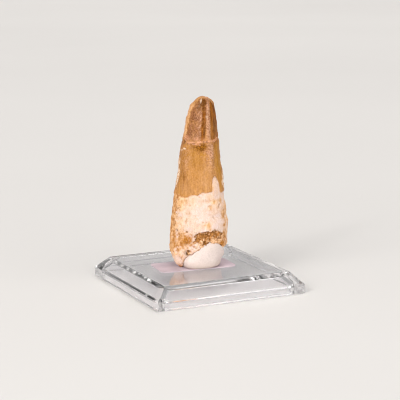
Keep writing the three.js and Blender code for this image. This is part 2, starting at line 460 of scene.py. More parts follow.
def build_tooth():
    pts, quads, tris, deg, over, cap, count = tooth_grid()
    lat, dep, z = pts.T
    p = pts.copy()
    front = smooth(0.12, -0.12, np.sin(np.radians(deg)))
    back = 1 - front
    inner = cap
    cap = (cap > 0).astype(float)
    side = 1 - cap
    dr = ((deg + 180) % 360) - 180  # angle counted from the right edge

    # noises, in mm
    broad = fbm(p * 0.22, 3, 11)
    middle = fbm(p * 0.75, 4, 12)
    blotch = fbm(p * 0.45, 3, 17)
    fine = fbm(p * 2.0, 3, 13)
    finest = fbm(p * 4.0, 2, 14)
    streak = fbm(p * np.array([1.3, 1.3, 0.10]), 4, 15)
    streak_fine = fbm(p * np.array([3.2, 3.2, 0.25]), 3, 16)
    wob_a = 0.30 * fbm(p * 1.4, 3, 18)
    wob_b = 0.30 * fbm(p * 1.4, 3, 19)
    grain_d, grain_id = cells(p * 1.25, 21)
    crumb_d, crumb_id = cells(p * 2.6, 22)
    hole_d, hole_id = cells(p * 1.5, 23)

    def spot(at_deg, at_z, wide, tall, crisp=0.0, turn=0.0):
        """Ragged spot on the skin at an angle and a height; half sizes in mm."""
        c = skin(np.radians(np.array([float(at_deg)])), np.array([float(at_z)]))[0]
        a = math.radians(at_deg)
        sideways = (lat - c[0]) * -math.sin(a) + (dep - c[1]) * math.cos(a)
        inward = (lat - c[0]) * math.cos(a) + (dep - c[1]) * math.sin(a)
        u = sideways + wob_a * min(1.0, wide)
        v = z - at_z + wob_b * min(1.0, tall)
        ct, st = math.cos(math.radians(turn)), math.sin(math.radians(turn))
        u, v = u * ct + v * st, v * ct - u * st
        d = np.hypot(u / wide, v / tall)
        d = d + 9 * (np.abs(inward) > 3.0 + wide)
        return smooth(1.35, 0.65, d) if crisp else bump(d)

    turn_wob = deg + 7.0 * blotch + 5.0 * middle + 2.5 * fine  # ragged limits for stains

    def stroke(a0, z0, a1, z1, wide):
        """Ragged stroke along the skin near the tip, between two points; half width in mm."""
        k = math.radians(5.7)
        su, sz = (a1 - a0) * k, z1 - z0
        u, v = (deg - a0) * k, z - z0 + 0.16 * fine + 0.12 * middle
        t = np.clip((u * su + v * sz) / (su * su + sz * sz), 0, 1)
        return smooth(1.35, 0.65, np.hypot(u - t * su, v - t * sz) / wide)

    # enamel and its chipped edge
    edge = table(ENAMEL, deg, 1) + 0.16 * middle + 0.26 * fine
    enamel = smooth(-0.10, 0.10, z - edge) * side
    near_edge = np.exp(-np.abs(z - edge) / 3.5)

    # crumbly, sandy hollows
    sway = 3.5 * middle + 2.5 * fine
    top_front = between(SAND_FRONT, deg + sway, -9.0)
    top_back = between(SAND_BACK, deg + sway, -9.0)
    jag = 0.34 * fine + 0.30 * middle + 0.16 * finest
    sand_f = smooth(-0.10, 0.16, top_front + jag - z)
    sand_b = smooth(-0.12, 0.2, top_back + jag * 1.6 - z)
    chunk = smooth(15.3, 14.4, z + 0.5 * middle + 0.3 * fine) * smooth(276, 268, deg + 4 * fine)
    chunk = chunk * smooth(248, 253, deg)
    sand_f = sand_f * (1 - chunk)
    sand = np.maximum(sand_f, sand_b)
    sand = np.maximum(sand, cap * smooth(-0.5, 0.35, middle + 0.2))
    # painted shade under the overhanging upper edges of the sandy hollows
    shade_under_lip = np.maximum(
        sand_f * np.exp(-np.clip(top_front + jag - z, 0, 9) / 0.55) * smooth(312, 300, deg),
        sand_b * np.exp(-np.clip(top_back + jag - z, 0, 9) / 0.6),
    )
    crumbs = sand * smooth(0.05, 0.45, 0.55 * fine + 0.45 * middle + (0.30 + 0.16 * smooth(276, 290, deg)) * smooth(17.4, 14.8, z) + 0.12 * smooth(294, 308, deg) * front - 0.12)

    # tip: raised light rim, worn facet inside it, groove, ridge
    zs = np.arange(45.0, 59.86, 0.1)
    high_part = z > 45.2

    def reach(column):
        line = np.stack([table(OUTLINE, zs, column), zs], 1)
        d = np.full(len(z), 9.0)
        q = np.stack([lat, z], 1)[high_part]
        d[high_part] = np.sqrt(((q[:, None, :] - line[None]) ** 2).sum(-1)).min(1)
        return d

    to_left, to_right = reach(1), reach(2)
    ridge_x = np.interp(z, [36, 43, 45, 46.1, 47.9, 52.2, 54, 55.8, 57.6, 60], [4.3, 4.2, 3.85, 3.52, 3.36, 3.33, 3.26, 3.16, 3.09, 2.9])
    groove_x = np.interp(z, [36, 44, 48.9, 50.4, 52.5, 54, 55.9, 57.8, 60], [2.2, 1.6, 1.79, 1.88, 2.04, 2.13, 2.13, 2.0, 1.9])
    high = smooth(41.5, 47.5, z)
    ridge = bump((lat - ridge_x) / 0.62) * front * smooth(36.5, 46, z)
    groove = bump((lat - groove_x) / 0.68) * front * high
    rim_l = smooth(0.66, 0.36, to_left + 0.22 * middle + 0.24 * fine - 0.10 * smooth(54.5, 57.5, z) + 0.12 * smooth(58.3, 59.6, z))
    rim_l = rim_l * smooth(46.8, 48.6, z) * (front + back * 0.6)
    rim_r = smooth(0.50, 0.22, to_right + 0.10 * fine) * smooth(56.9, 58.2, z)
    rim = np.maximum(rim_l, rim_r)
    facet = smooth(0.42, 0.95, to_left + 0.15 * fine) * smooth(-0.25, -0.85, lat - groove_x) * front * smooth(44.5, 48.5, z)
    hollow_top = np.maximum.reduce([spot(268, 58.0, 1.05, 1.15, 1.0), 0.6 * spot(262, 56.7, 0.8, 1.2), 0.95 * spot(255, 57.2, 0.85, 1.5)]) * front
    right_flat = bump((deg - 333) / 20) * smooth(43, 50, z)
    back_ridges = (bump((deg - 62) / 7) * 0.8 + bump((deg - 118) / 8)) * smooth(38, 47, z)
    back_groove = (bump((deg - 90) / 9) + bump((deg - 38) / 8)) * smooth(40, 48, z)

    # mended break near the tip, patchy filler along it
    crack_z = (
        np.interp(
            deg,
            [0, 17, 60, 110, 150, 185, 205, 220, 243, 265.5, 275, 283.5, 300, 316, 338, 360],
            [46.6, 46.6, 45.9, 45.3, 45.6, 45.4, 45.5, 45.6, 45.75, 45.6, 46.1, 46.4, 46.2, 46.35, 46.9, 46.6],
        )
        + 0.30 * fine
        + 0.22 * middle
        + 0.10 * finest
    )
    crack = z - crack_z
    patchy = smooth(-0.30, 0.30, 0.7 * fine + 0.6 * middle)
    line = bump(crack / 0.22) * smooth(-0.75, 0.05, middle + 0.3 * fine + 0.15)
    band = bump((crack - 0.35) / 0.75) * patchy
    patches = np.maximum.reduce(
        [
            spot(255.5, 47.1, 0.95, 0.55) * 0.8,
            spot(245, 45.95, 0.75, 0.32),
            spot(261.5, 45.5, 0.95, 0.36),
            spot(298, 46.5, 0.75, 0.7) * 0.6,
            spot(213, 47.1, 1.05, 0.95, 1.0),
            0.7 * spot(226, 47.0, 0.7, 0.6),
        ]
    )
    strokes = np.maximum.reduce(
        [
            0.80 * stroke(221, 45.95, 248, 45.85, 0.20),
            0.95 * stroke(249, 45.42, 268, 45.30, 0.22),
            1.00 * stroke(262, 46.05, 289, 46.28, 0.22),
            1.00 * stroke(289, 46.28, 318, 46.25, 0.20),
            1.00 * stroke(318, 46.25, 337, 46.95, 0.30),
        ]
    )
    filler = np.clip(
        np.maximum.reduce(
            [
                (0.30 + 0.6 * back) * line,
                (0.22 + 0.10 * back) * band,
                strokes * (0.92 + 0.3 * fine),
                patches * (0.80 + 0.4 * fine),
            ]
        ),
        0,
        1,
    )
    mend = np.clip(strokes * (0.55 + 0.9 * fine + 0.4 * middle), 0, 1) * front
    seam = bump((crack + 0.40) / 0.15) * smooth(-0.1, 0.5, 0.6 * middle + 0.6 * fine + 0.12)
    notch = np.maximum(
        bump(np.hypot((deg - 205) / 8, (z - 45.85) / 0.55)),
        bump(np.hypot((deg - 186) / 8, (z - 45.8) / 0.4)),
    )
    notch_r = bump(np.hypot((dr - 2) / 12, (z - 46.8) / 0.3))
    step_l = smooth(0.0, 0.3, crack) * bump((deg - 184) / 22) * smooth(48.6, 47.2, z)

    # carinae down the left and right edges, worn in places, and painted highlights at the tip and on the ridge
    keel_l = bump((deg - 184) / 6.0) * smooth(30, 33, z) * smooth(59.2, 57.0, z)
    keel_r = bump((dr + 4) / 6.0) * smooth(30, 33, z) * smooth(59.2, 57.0, z)
    nibble = smooth(-0.2, 0.35, middle + 0.7 * fine)
    down = np.stack([z * 0.55, np.zeros(len(z)), np.zeros(len(z))], 1)
    run_l, run_r = fbm(down, 3, 51), fbm(down, 3, 52)
    wide_l = (8.5 + 5.5 * run_l) * smooth(30.9, 33.4, z) * smooth(41.6, 38.4, z)
    wide_r = (8.5 + 6.0 * run_r) * smooth(30.2, 32.2, z) * smooth(38.0, 35.4, z)
    off_l = np.abs(deg - 191 - 3.0 * run_r + 3.2 * middle + 3.2 * fine)
    off_r = np.abs(dr + 8 - 3.0 * run_l + 3.2 * middle + 3.2 * fine)
    chip_l = smooth(1.10, 0.80, off_l / np.maximum(wide_l, 0.01)) * smooth(-0.95, -0.45, fine + 0.8 * middle)
    chip_r = smooth(1.10, 0.80, off_r / np.maximum(wide_r, 0.01)) * smooth(-0.95, -0.45, fine + 0.8 * middle)
    chips_and_glints = np.maximum.reduce(
        [
            chip_l,
            chip_r * 0.85,
            spot(214.5, 43.85, 0.55, 0.22, 1.0),
            spot(200.5, 43.2, 0.35, 0.35, 1.0) * 0.8,
            # painted highlights: a white glint at the tip, a pinkish glow below it, and a light spot on the ridge
            spot(251.5, 58.65, 0.30, 0.58, 1.0) * 1.0,
            spot(252, 57.2, 0.30, 0.45) * 0.35,
            spot(292, 53.7, 0.30, 0.35) * 0.4,
        ]
    )

    # stains
    dark_stain = bump(np.hypot((lat - 1.0 + wob_a) / 2.1, (z - 44.5 + wob_b) / 1.15)) * front
    dark_stain = dark_stain * smooth(0.15, -0.25, crack)
    dark_stain = np.clip(dark_stain * (1.7 + 0.9 * fine + 0.35 * finest), 0, 1)
    yellow = bump(np.hypot((lat - 1.6 + wob_a) / 1.2, (z - 42.3 + wob_b) / 0.7)) * front
    yellow = np.maximum(yellow, 0.70 * smooth(310, 322, deg + 3 * middle) * smooth(352, 334, deg + 8 * streak + 5 * middle) * smooth(30.5, 32, z) * smooth(46.2, 44.5, z) * (0.9 + 0.5 * streak))
    orange = np.zeros(len(z))
    for a, h, w, t, s in (
        (246.5, 15.8, 1.9, 1.30, 1.2),
        (248, 15.5, 0.6, 0.45, 1.0),
        (250, 14.8, 0.7, 0.5, 0.8),
        (289.5, 20.5, 0.50, 1.05, 0.80),
        (278, 21.55, 0.30, 0.22, 0.6),
        (284, 21.55, 0.30, 0.22, 0.6),
        (281, 20.7, 0.4, 0.35, 0.4),
        (324, 14.3, 1.0, 0.85, 1.2),
        (228, 7.05, 0.95, 0.70, 1.0),
        (209, 15.6, 0.9, 1.3, 0.75),
        (214, 14.0, 0.8, 0.9, 0.8),
        (200, 14.2, 0.9, 1.3, 0.7),
        (219, 12.9, 0.6, 0.7, 0.5),
        (211, 44.55, 0.50, 0.40, 0.9),
        (328, 20.1, 0.65, 0.45, 0.9),
        (331, 22.0, 0.6, 1.0, 0.45),
        (334, 16.5, 0.7, 1.4, 0.5),
        (320, 26.2, 0.35, 0.35, 0.35),
        (313, 17.6, 0.7, 0.5, 0.5),
        (40, 20.5, 1.1, 1.4, 0.7),
        (75, 23.5, 0.8, 1.0, 0.6),
        (140, 17.5, 1.2, 1.0, 0.8),
        (155, 24.8, 0.7, 1.3, 0.6),
        (100, 26.5, 1.0, 0.6, 0.5),
        (20, 15.5, 1.0, 1.0, 0.7),
    ):
        orange = np.maximum(orange, s * spot(a, h, w, t))
    stripe = bump((lat - ridge_x - 1.45) / 0.42) * front * smooth(46.9, 48.2, z) * smooth(57.6, 55.2, z)
    orange = np.maximum(orange, 0.34 * stripe)
    orange = np.clip(orange * (0.95 + 0.55 * middle + 0.45 * fine), 0, 1)

    # pits in the bare dentine: angle, height, half width, half height, depth, turn
    pit = np.zeros(len(z))
    deep = np.zeros(len(z))
    for a, h, w, t, d, turn, dark in (
        (295.0, 26.3, 0.62, 0.40, 0.40, 0, 0.25),
        (296.0, 25.8, 0.34, 0.50, 0.45, 0, 0.3),
        (321.0, 26.6, 0.36, 0.26, 0.35, 20, 0.55),
        (317.5, 26.0, 0.34, 0.40, 0.30, 0, 0.25),
        (243.3, 21.8, 0.36, 0.85, 0.42, -6, 0.45),
        (243.0, 22.5, 0.22, 0.40, 0.25, 0, 0.1),
        (207.0, 19.8, 0.70, 0.36, 0.40, 10, 0.5),
        (210.5, 21.1, 0.40, 0.30, 0.35, 0, 0.5),
        (205.0, 21.6, 0.5, 0.5, 0.3, 0, 0.2),
        (219.0, 18.5, 0.34, 0.36, 0.45, 30, 0.8),
        (245.0, 18.4, 0.46, 0.28, 0.50, 10, 0.9),
        (241.0, 27.7, 0.42, 0.60, 0.26, 10, 0.25),
        (228.0, 27.5, 0.70, 0.45, 0.22, 0, 0.1),
        (271.0, 29.3, 0.18, 0.28, 0.25, 25, 0.5),
        (303.0, 22.6, 0.20, 0.55, 0.28, 12, 0.35),
        (299.5, 23.0, 0.20, 0.30, 0.2, -20, 0.2),
        (249.5, 24.1, 0.20, 0.26, 0.18, 0, 0.35),
        (243.0, 23.9, 0.24, 0.24, 0.18, 0, 0.3),
        (250.0, 26.6, 0.40, 0.28, 0.16, 0, 0.2),
        (207.0, 26.6, 0.30, 0.60, 0.30, 0, 0.6),
        (205.5, 27.8, 0.28, 0.30, 0.25, 0, 0.6),
        (211.5, 28.6, 0.30, 0.24, 0.22, 0, 0.4),
        (218.5, 25.45, 0.30, 0.22, 0.24, 10, 0.5),
        (219.5, 28.2, 0.24, 0.26, 0.18, 0, 0.3),
        (226.0, 27.0, 0.22, 0.22, 0.16, 0, 0.3),
        (212.5, 23.6, 0.24, 0.30, 0.2, 0, 0.4),
        (231.0, 20.1, 0.26, 0.20, 0.16, 0, 0.3),
        (209.0, 25.4, 0.30, 0.4, 0.25, 0, 0.3),
        (216.0, 25.2, 0.30, 0.34, 0.22, 0, 0.25),
        (221.5, 25.0, 0.26, 0.26, 0.2, 0, 0.25),
        (230.5, 22.4, 0.22, 0.34, 0.18, 0, 0.2),
        (229.0, 20.6, 0.30, 0.22, 0.18, 15, 0.3),
        (262.5, 23.3, 0.16, 0.22, 0.14, 0, 0.3),
        (281.0, 27.9, 0.30, 0.26, 0.16, 0, 0.2),
        (287.0, 28.0, 0.40, 0.30, 0.18, 0, 0.2),
        (233.0, 17.6, 0.36, 0.3, 0.3, 0, 0.5),
        (15, 24, 0.5, 0.6, 0.35, 0, 0.4),
        (35, 27, 0.4, 0.3, 0.25, 20, 0.3),
        (60, 22, 0.5, 0.8, 0.4, 0, 0.4),
        (88, 25, 0.4, 0.3, 0.25, 0, 0.3),
        (112, 21, 0.6, 0.35, 0.35, 15, 0.5),
        (128, 25.5, 0.3, 0.6, 0.3, 0, 0.3),
        (150, 20.5, 0.55, 0.4, 0.4, 0, 0.5),
        (170, 23.5, 0.35, 0.6, 0.3, 0, 0.4),
    ):
        s = spot(a, h, w, t, 1.0, turn)
        pit = np.maximum(pit, s * (0.36 + 0.64 * dark))
        deep = np.maximum(deep, s * d)
    dentine = (1 - enamel) * (1 - sand) * side
    leftish = smooth(246, 226, deg) * smooth(160, 180, deg)
    pin = smooth(0.34, 0.16, hole_d) * (hole_id > 0.82 - 0.30 * leftish - 0.12 * back) * dentine
    pin = pin * smooth(-0.25, 0.35, middle + 0.15)

    # tan mottling on the bare dentine, with painted shade down the left edge and on the spur's right flank
    left_part = (0.82 * smooth(224, 206, turn_wob) + 0.18 * smooth(244, 222, turn_wob)) * smooth(160, 184, turn_wob)
    left_rim = smooth(212, 200, deg + 5 * middle) * smooth(162, 184, turn_wob)
    back_part = smooth(184, 160, turn_wob) * smooth(2, 25, deg)
    upper_right = bump(np.hypot((deg - 306) / 20, (z - 26.9) / 1.7))
    right_edge = smooth(316, 336, deg + 5 * middle) * smooth(30.2, 28, z)
    low_left = smooth(19.2, 17.2, z + 1.0 * middle + 0.7 * blotch + 0.45 * fine) * smooth(262, 252, deg) * smooth(164, 186, turn_wob)
    under_edge = smooth(3.4, 0.3, edge - z) * smooth(250, 234, deg + 6 * middle) * smooth(160, 184, turn_wob)
    tan = (
        left_part * (0.88 + 0.65 * middle + 0.55 * fine)
        # darker tan down the left edge; the extra above 26 mm is painted shade on the side turned from the light
        + left_rim * (0.45 + 0.18 * smooth(25.5, 27.5, z))
        + 0.62 * smooth(238, 214, turn_wob) * smooth(160, 184, turn_wob) * smooth(22.6, 25.2, z) * np.clip(0.22 + 0.9 * fine + 0.6 * middle, 0, 1)
        + under_edge * (0.22 + 0.4 * fine)
        + upper_right * (0.08 + 0.5 * middle + 0.3 * fine)
        + right_edge * (0.24 + 0.7 * middle + 0.3 * fine)
        + low_left * (0.74 + 0.60 * middle + 0.45 * fine)
        + back_part * (0.16 + 0.50 * middle + 0.30 * blotch + 0.55 * fine + 0.25 * finest)
        + back_part * 0.40 * smooth(3.0, 0.4, edge - z) * (0.6 + 0.9 * fine)
        + back_part * 0.50 * smooth(18.6, 15.0, z + 1.2 * middle) * (0.6 + 0.8 * fine + 0.4 * middle)
        + 0.55 * spot(292, 19.0, 0.9, 0.5)
        + 0.50 * spot(262, 12.7, 0.9, 0.7)
        + 0.15 * np.clip(blotch + 0.2, 0, 1)
        + 0.10 * np.clip(streak, 0, 1)
        + 0.55 * smooth(0.55, 0.05, edge - z) * (0.6 + 0.6 * fine)
    )
    spur = smooth(12.9, 11.2, z + 0.5 * middle) * smooth(252, 246, deg) * smooth(190, 205, deg)
    tan = tan * (1 - 0.9 * spur) + spur * np.clip(0.02 + 0.55 * middle + 0.45 * fine, 0, 0.65)
    tan = tan * (1 - 0.6 * chunk) + chunk * np.clip(0.11 + 0.7 * fine + 0.3 * middle, 0, 0.7)
    foot = spur * smooth(11.0, 9.4, z)
    # the spot at 239 degrees darkens the spur's right flank beside the putty: painted shade between spur and putty
    tan = np.clip(tan * (1 - 0.8 * foot) + 0.5 * spot(239, 9.0, 0.55, 1.6) + 0.24 * foot * np.clip(0.1 + fine + 0.5 * middle, 0, 1), 0, 1)

    # soft peach tint of the dentine
    from_left = smooth(252, 220, turn_wob) * smooth(160, 184, turn_wob)
    peach = (
        from_left
        * (
            0.44
            + 0.45 * middle
            + 0.25 * fine
            + 0.50 * bump((z - 27.8) / 3.0)
            - 0.22 * bump((z - 23.6) / 1.6)
            + 0.22 * smooth(22.6, 20.6, z)
        )
        + 0.95 * spot(289.5, 20.4, 0.75, 1.30)
        + 0.45 * spot(282, 20.6, 1.3, 0.9)
        + 0.55 * spot(307, 27.5, 1.1, 0.6)
        + upper_right * (0.30 + 0.4 * middle)
        + right_edge * (0.48 + 0.5 * middle)
        + 0.46 * bump(np.hypot((deg - 246) / 17, (z - 28.2) / 2.2)) * front
        + 0.90 * spot(303.4, 31.9, 0.36, 1.7)
        + 0.40 * spot(294, 29.3, 1.0, 0.8)
        + 0.40 * spot(296, 26.2, 0.9, 0.8)
        + 0.28 * bump(np.hypot((deg - 312) / 10, (z - 33.6) / 2.4))
        + back_part * (0.34 + 0.55 * blotch + 0.35 * middle)
        + 0.14 * np.clip(blotch + 0.15, 0, 1)
    )
    peach = np.clip(peach * (1 - 0.75 * foot), 0, 1)

    # amber where the enamel is thick or stained
    tip_zone = smooth(-0.1, 0.8 - 0.5 * smooth(300, 314, deg) * front, crack)
    right_of_ridge = smooth(0.45, 0.95, lat - ridge_x + 0.12 * fine) * front
    in_groove = smooth(1.05, 0.45, np.abs(lat - groove_x) + 0.12 * fine) * front
    amber = tip_zone * np.maximum.reduce(
        [
            np.full(len(z), 0.16) + 0.25 * np.clip(blotch, 0, 1),
            in_groove * (0.90 + 0.3 * fine),
            right_of_ridge * (0.98 + 0.15 * streak - 0.24 * smooth(53.5, 50.5, z)),
            back * (0.55 + 0.30 * streak),
            0.9 * hollow_top,
        ]
    )
    below = (1 - tip_zone) * smooth(29, 31, z)
    golden = below * bump(np.hypot((lat + 1.2) / 3.4, (z - 42.2) / 5.0)) * front
    right_side = smooth(304, 320, deg) * smooth(352, 340, deg) * smooth(38.5, 41.5, z)
    yellow = np.maximum(yellow, 0.52 * golden)
    amber = np.maximum(
        amber,
        below
        * (
            smooth(312, 324, deg) * (0.13 + 0.34 * streak)
            + smooth(222, 200, deg) * smooth(160, 176, deg) * (0.18 + 0.32 * middle)
            + bump(np.hypot((lat + 4.1) / 1.5, (z - 34.9) / 3.0)) * front * (0.22 + 0.3 * middle)
            + bump(np.hypot((lat + 4.6) / 0.6, (z - 41.5) / 2.0)) * front * 0.30
            + back_part * (0.24 + 0.36 * streak)
            + 0.30 * np.clip(streak - 0.15, 0, 1)
        ),
    )
    worn_top = smooth(56.0, 58.0, z)
    rim = rim * (1 - 0.62 * worn_top) * (1 - 0.40 * bump((z - 52.8) / 1.1) * smooth(232, 214, deg))
    amber = np.maximum(amber, 0.52 * worn_top * (0.9 + 0.4 * fine))
    amber = np.maximum(amber, 0.27 * golden * (1 + 0.5 * fine + 0.3 * streak))
    amber = np.maximum(amber, below * right_side * (0.26 + 0.32 * smooth(42.0, 45.0, z)) * (1 + 0.3 * fine))
    amber = np.maximum(amber, 0.36 * below * bump(np.hypot((deg - 204) / 15, (z - 44.6) / 2.3)) * (1 + 0.4 * fine))
    amber = np.maximum(amber, 0.22 * below * spot(230, 37.6, 0.9, 1.6))
    amber = np.clip(amber * (1 - 0.9 * rim), 0, 1)

    # pale, pinkish worn enamel; the light pink down the ridge and on the facet is partly a painted sheen
    pale = np.clip(
        tip_zone * facet * (0.86 + 0.30 * middle + 0.25 * fine) + tip_zone * back_ridges * 0.6,
        0,
        1,
    )
    pale = pale * (1 - 0.8 * hollow_top) * (1 - in_groove * tip_zone)
    pink = np.clip(
        smooth(0.85, 0.35, np.abs(lat - ridge_x) + 0.15 * fine) * front * smooth(40, 45, z) * (0.92 + 0.3 * fine)
        + below * spot(233.5, 40.6, 1.5, 3.0) * (0.74 + 0.5 * fine + 0.3 * middle)
        + tip_zone * facet * smooth(-2.4, -1.3, lat - groove_x) * (0.62 + 0.6 * fine) * (1 - hollow_top)
        + below * spot(297, 42.8, 1.45, 4.0) * (0.80 + 0.6 * fine)
        + below * bump((crack + 1.6) / 2.4) * (0.26 + 0.7 * fine) * (1 - 0.75 * smooth(302, 316, deg))
        + below * (0.20 * np.clip(fine + 0.2, 0, 1) + 0.16 * np.clip(streak_fine, 0, 1)),
        0,
        1,
    )

    pink = pink * (1 - 0.55 * bump(crack / 1.1) * smooth(262, 272, deg) * smooth(338, 330, deg))
    pink = pink * (1 - 0.32 * golden)
    # painted sheen: a paler greyish-pink patch on the lower front enamel stands in for a specular sheen
    painted_sheen = bump(np.hypot((lat - 2.8) / 1.9, (z - 34.2) / 4.5)) * (0.85 + 0.3 * fine + 0.4 * streak)
    painted_sheen = np.maximum(painted_sheen, 0.36 * smooth(35.5, 31.5, z + 0.8 * middle) * smooth(-6.0, -4.2, lat) * (0.9 + 0.4 * streak))
    painted_sheen = np.clip(below * front * painted_sheen, 0, 1)

    # small holes beside the spur: shallow dents painted dark, a painted shade standing in for open holes
    dark = np.maximum(0.82 * spot(252, 12.5, 0.60, 0.36, 1.0, -15), 0.78 * spot(248.6, 11.5, 0.34, 0.60, 1.0))

    # relief in mm along the normal
    rise = 0.05 * broad * smooth(8, 14, z)
    rise = rise + (enamel - 0.5) * 0.26 * near_edge * side
    rise = rise + enamel * (0.030 * streak + 0.022 * streak_fine + 0.016 * fine + 0.010 * finest)
    flutes = np.sin(np.radians(deg) * 34 + 1.2 * broad + 0.8 * middle)
    rise = rise + enamel * 0.022 * flutes * smooth(50, 40, z)
    rise = rise + 0.26 * ridge - 0.28 * groove - 0.34 * facet - 0.16 * right_flat - 0.22 * hollow_top
    rise = rise + facet * (0.035 * fine + 0.04 * middle)
    rise = rise + 0.20 * back_ridges - 0.20 * back_groove
    rise = rise + 0.09 * filler - 0.14 * seam - 0.70 * notch - 0.35 * notch_r
    rise = rise - 0.10 * step_l
    rise = rise + (0.16 * keel_l + 0.12 * keel_r) * (1 - nibble) + 0.03 * rim
    rise = rise - 0.15 * chips_and_glints - 0.07 * rim * np.clip(fine, 0, 1)
    rise = rise - 0.16 * dark_stain * np.clip(0.4 + fine, 0, 1)
    rise = rise + dentine * (
        0.055 * middle + 0.050 * fine + 0.012 * finest + 0.035 * streak_fine - deep - 0.16 * pin
    )
    rough_low = np.maximum(low_left, chunk)
    rise = rise + dentine * rough_low * (0.12 * fine + 0.03 * finest - 0.06 + 0.12 * middle)
    rise = rise + 0.30 * chunk - 0.50 * dark
    rise = rise - dentine * left_part * 0.05 * (1 + 1.6 * fine)
    grains = smooth(0.70, 0.10, grain_d) * (0.30 + 0.70 * grain_id)
    recess = 0.34 + 0.34 * smooth(15.6, 17.4, z) * smooth(318, 306, deg)
    rise = rise + sand * (
        -recess * side * smooth(0.0, 0.9, over) + 0.34 * grains + 0.18 * fine + 0.05 * finest + 0.14 * middle
    )
    rise = rise + 0.22 * crumbs * side
    rise = rise * side + cap * inner * (0.30 * middle + 0.18 * fine + 0.14 * grains)
    ragged = (1 - smooth(0.0, 1.6, over)) * side
    rise = rise * smooth(-0.3, 0.9, over + cap) + ragged * (0.10 * middle + 0.08 * fine)
    rise = rise * smooth(59.9, 59.3, z)

    n = normals_of(pts, quads, tris)
    moved = pts + n * rise[:, None]
    moved[:, 2] = np.maximum(moved[:, 2], LABEL_TOP + 0.02)

    faces = quads.tolist() + tris.tolist()
    ob = new_mesh("fossil_tooth", to_world(moved), faces)
    # dark mask: painted shade in the small holes beside the spur, under the sandy hollows' upper edges, between sand
    # grains, in the gap between spur and putty, and under the finger's broken enamel edge; with it the dark crack seam
    # and notches, the dark hollow at the tip, pits, pin holes, part of the stain and the underside
    shade_and_dark_marks = np.clip(
        dark
        + 0.42 * shade_under_lip * (0.6 + 0.8 * fine)
        + 0.7 * seam * enamel
        + 0.9 * notch
        # painted shade between the sand grains
        + sand * 0.30 * smooth(0.35, 0.75, grain_d) * (1 - crumbs)
        + 0.42 * spot(219, 18.5, 0.34, 0.36, 1.0)
        + 0.46 * spot(245, 18.4, 0.42, 0.26, 1.0)
        + 0.62 * hollow_top
        + 0.40 * pin * np.maximum(leftish, 0.8 * back)
        + 0.50 * pit * dentine * smooth(224, 213, deg) * smooth(170, 184, deg)
        + 0.26 * spot(247, 15.1, 1.2, 0.6)
        # painted shade in the gap between the spur and the putty
        + 0.42 * spot(246, 11.8, 0.75, 0.95)
        # painted shadow under the broken enamel edge on top of the finger
        + 0.36 * bump((z - edge - 0.34) / 0.16) * smooth(302, 305, deg) * smooth(323, 316, deg) * smooth(33.4, 34.4, z)
        + cap * 0.35,
        0,
        1,
    )
    pit_tan = np.clip(0.80 * pit * dentine + 0.35 * pin, 0, 1)
    for name, values in (
        ("m_enamel", enamel),
        ("m_amber", amber),
        ("m_pale", pale),
        ("m_filler", filler),
        ("m_mend", mend),
        ("m_pink", pink),
        ("m_painted_sheen", painted_sheen),
        ("m_chip_and_glint", np.clip(chips_and_glints, 0, 1)),
        ("m_rim", np.clip(rim, 0, 1)),
        ("m_tan", tan),
        ("m_peach", peach),
        ("m_orange", orange),
        ("m_yellow", yellow),
        ("m_stain", dark_stain),
        ("m_sand", sand),
        ("m_crumb", np.clip(crumbs, 0, 1)),
        ("m_pit", pit_tan),
        ("m_shade_and_dark_marks", shade_and_dark_marks),
        ("m_wet", np.clip(hollow_top + 0.5 * facet * smooth(54, 58, z), 0, 1)),
    ):
        set_attribute(ob, name, values)
    # one sheet round the tooth for baked finishes, the underside in a band below it
    uv = ob.data.uv_layers.new(name="OFBake")
    verts = np.zeros(len(ob.data.loops), np.int32)
    ob.data.loops.foreach_get("vertex_index", verts)
    row = np.minimum(verts // SIDES, count)
    col = (verts % SIDES).astype(float)
    starts = np.zeros(len(ob.data.polygons), np.int32)
    totals = np.zeros(len(ob.data.polygons), np.int32)
    ob.data.polygons.foreach_get("loop_start", starts)
    ob.data.polygons.foreach_get("loop_total", totals)
    face = np.repeat(np.arange(len(starts)), totals)
    pole = verts >= count * SIDES
    col[pole] = np.nan
    highest = np.zeros(len(starts))
    np.maximum.at(highest, face, np.nan_to_num(col, nan=0.0))
    wrap = (highest[face] > SIDES - 1.5) & (col < 1.5)
    col = np.where(wrap, col + SIDES, col)
    mean = np.zeros(len(starts))
    amount = np.zeros(len(starts))
    np.add.at(mean, face, np.nan_to_num(col, nan=0.0))
    np.add.at(amount, face, (~pole).astype(float))
    col = np.where(pole, (mean / np.maximum(amount, 1))[face], col)
    row = row.astype(float)
    row[verts == count * SIDES] = -1
    row[verts == count * SIDES + 1] = count
    u = 0.01 + 0.98 * col / SIDES
    v = 0.01 + 0.98 * (row + 1) / (count + 1)
    uv.data.foreach_set("uv", np.stack([u, v], 1).astype(np.float32).ravel())
    return ob


# ------------------------------------------------------------------ putty
PUTTY = [
    [6.75, -4.1, 6.3, -7.7, 5.4],
    [6.95, -4.4, 6.8, -8.15, 5.75],
    [7.3, -4.65, 7.1, -8.5, 6.05],
    [7.9, -4.8, 7.35, -8.75, 6.3],
    [9.2, -4.85, 7.6, -8.95, 6.4],
    [10.6, -4.5, 7.75, -8.85, 6.0],
    [12.0, -3.4, 7.85, -8.5, 5.3],
    [13.3, -2.2, 7.8, -8.1, 4.6],
    [14.2, -0.8, 7.3, -7.6, 3.8],
    [14.9, 1.6, 6.7, -7.2, 2.4],
    [15.4, 3.4, 6.2, -6.6, -0.6],
]
# the lump's upper edge against the front of the tooth: angle, height
LIP = [
    [238, 8.6],
    [243.5, 9.45],
    [248.5, 10.35],
    [254.5, 11.1],
    [261, 11.45],
    [264, 12.25],
    [267, 12.9],
    [273.5, 13.3],
    [277, 14.05],
    [285, 14.35],
    [289, 14.45],
    [293.5, 14.9],
    [300, 15.0],
    [307, 14.85],
    [313.5, 14.55],
    [316.5, 14.1],
    [323, 13.45],
    [329, 12.8],
    [337, 11.6],
    [346, 9.6],
]


